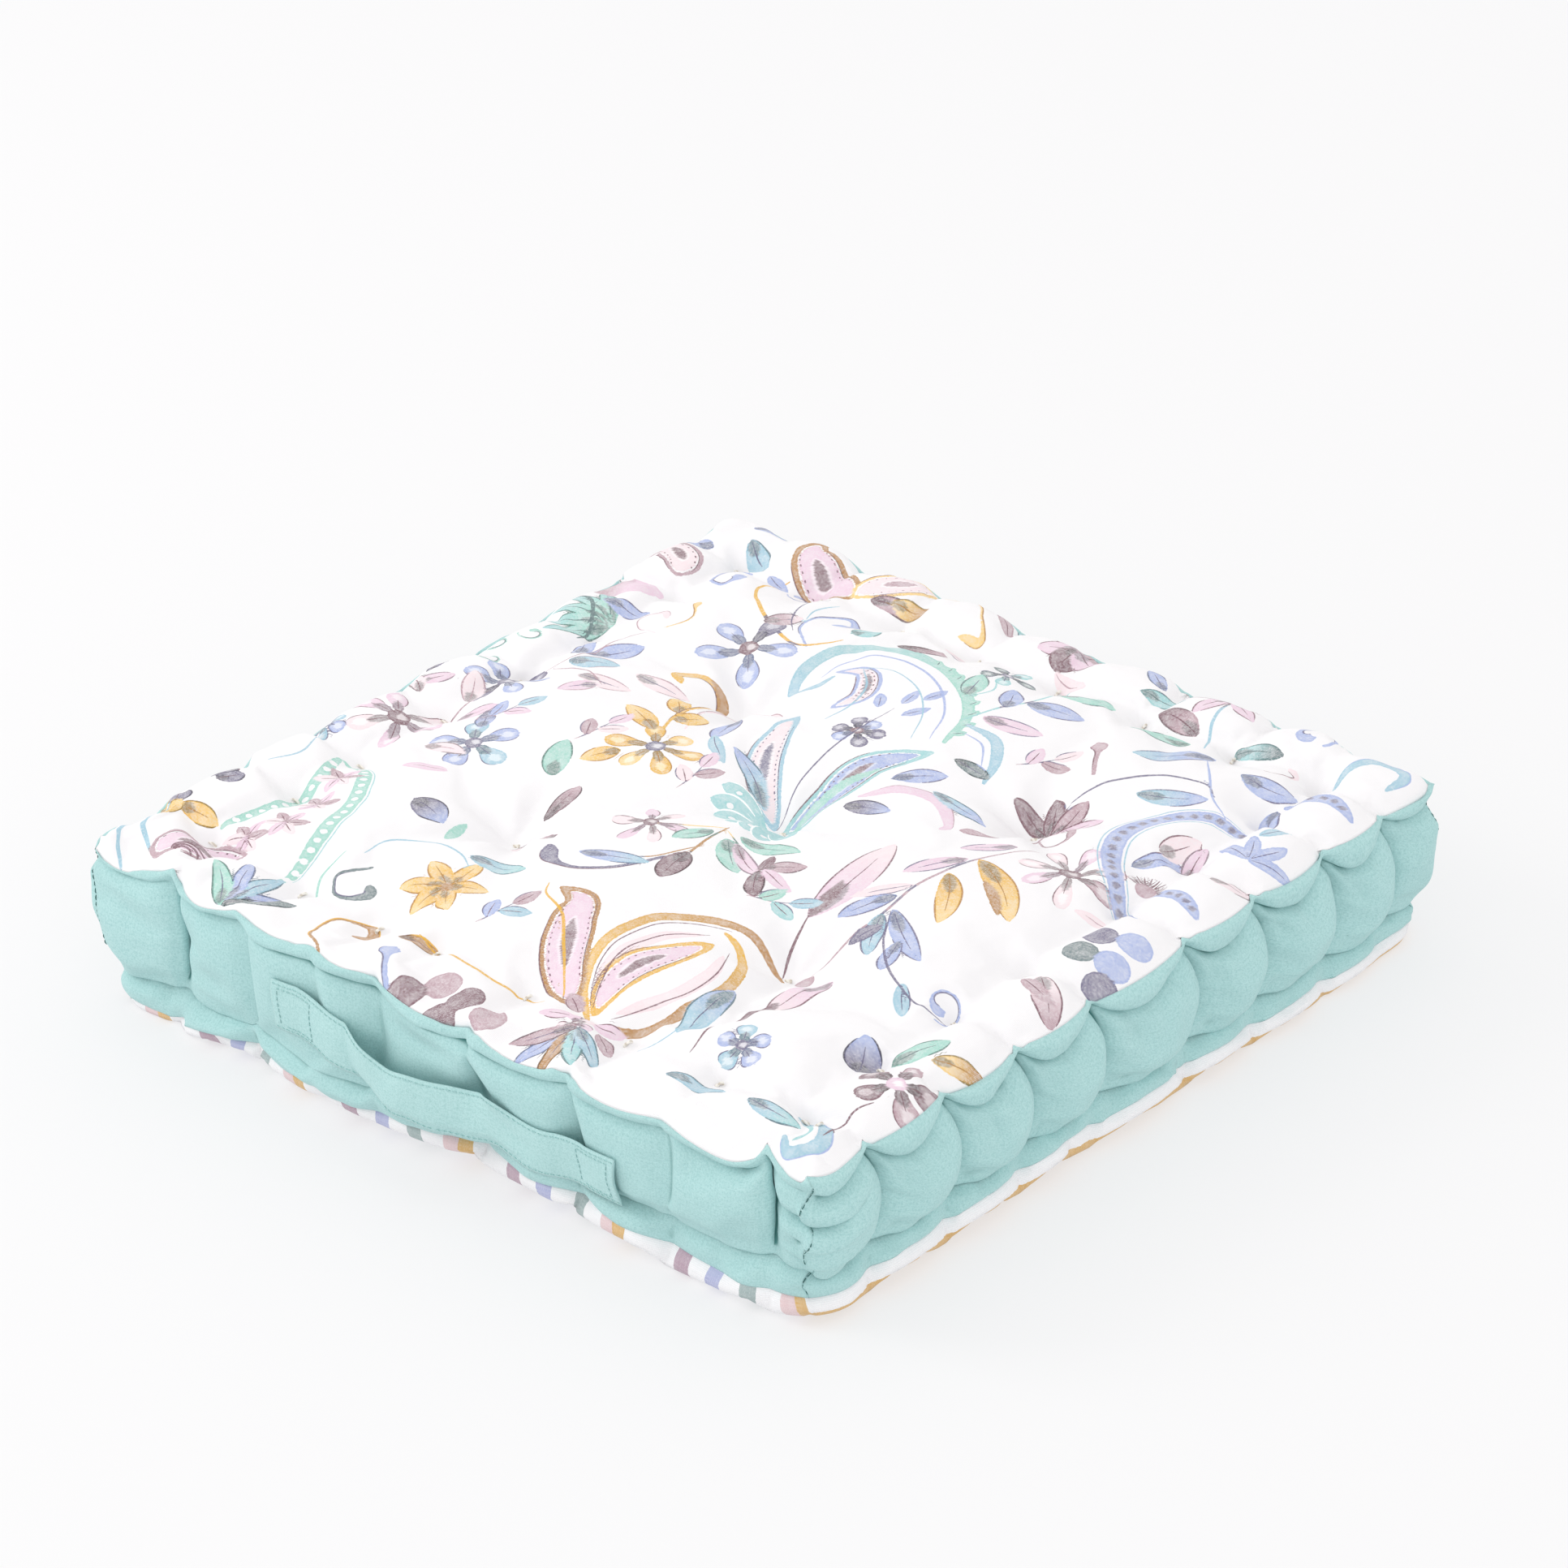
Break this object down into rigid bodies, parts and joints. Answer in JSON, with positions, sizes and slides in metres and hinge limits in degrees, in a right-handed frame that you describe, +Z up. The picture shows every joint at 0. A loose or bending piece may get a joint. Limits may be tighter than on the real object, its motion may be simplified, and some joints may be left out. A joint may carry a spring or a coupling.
{
  "type": "floor cushion",
  "caption": "Square tufted floor cushion with rolled stitched edges, boxed sides, a printed top and a cloth carry handle on one side.",
  "frame": {"origin": "middle of the underside of the whole object, handle included, on the surface it rests on", "axes": "+Z up, -Y towards the side with the carry handle, +X to the right as seen from that side"},
  "size_m": [0.5, 0.522, 0.1],
  "materials": {
    "printed_cotton": "white cotton with a floral print",
    "side_linen": "plain woven teal cotton",
    "striped_cotton": "cotton with woven stripes",
    "strap_linen": "folded and hemmed teal cotton",
    "sewing_thread": "twisted teal thread",
    "tufting_cord": "thick white cotton cord",
    "cotton_wadding": "loose cotton wadding"
  },
  "bodies": {
    "cushion": {"top_panel": "printed_cotton", "bottom_panel": "striped_cotton", "front_side_panel": "side_linen", "right_side_panel": "side_linen", "back_side_panel": "side_linen", "left_side_panel": "side_linen", "top_seam_stitching": "sewing_thread", "bottom_seam_stitching": "sewing_thread", "corner_seam_stitching": "sewing_thread", "front_top_roll_stitches": "tufting_cord", "front_bottom_roll_stitches": "tufting_cord", "right_top_roll_stitches": "tufting_cord", "right_bottom_roll_stitches": "tufting_cord", "back_top_roll_stitches": "tufting_cord", "back_bottom_roll_stitches": "tufting_cord", "left_top_roll_stitches": "tufting_cord", "left_bottom_roll_stitches": "tufting_cord", "centre_tuft_tie": "tufting_cord", "front_left_tuft_tie": "tufting_cord", "front_right_tuft_tie": "tufting_cord", "back_right_tuft_tie": "tufting_cord", "back_left_tuft_tie": "tufting_cord", "lower_wadding_layer": "cotton_wadding", "middle_wadding_layer": "cotton_wadding", "upper_wadding_layer": "cotton_wadding", "handle_left_tab": "strap_linen", "handle_right_tab": "strap_linen", "handle_left_tab_stitching": "sewing_thread", "handle_right_tab_stitching": "sewing_thread"},
    "handle": {"handle_grip": "strap_linen", "handle_hem_stitching": "sewing_thread"}
  },
  "joints": [
    {"name": "handle_lift", "type": "hinge", "parent": "cushion", "child": "handle", "pos_m": [0.01707, -0.2394, 0.06496], "axis": [-0.9971, 0, 0.0767], "range_deg": [0, 90]}
  ]
}
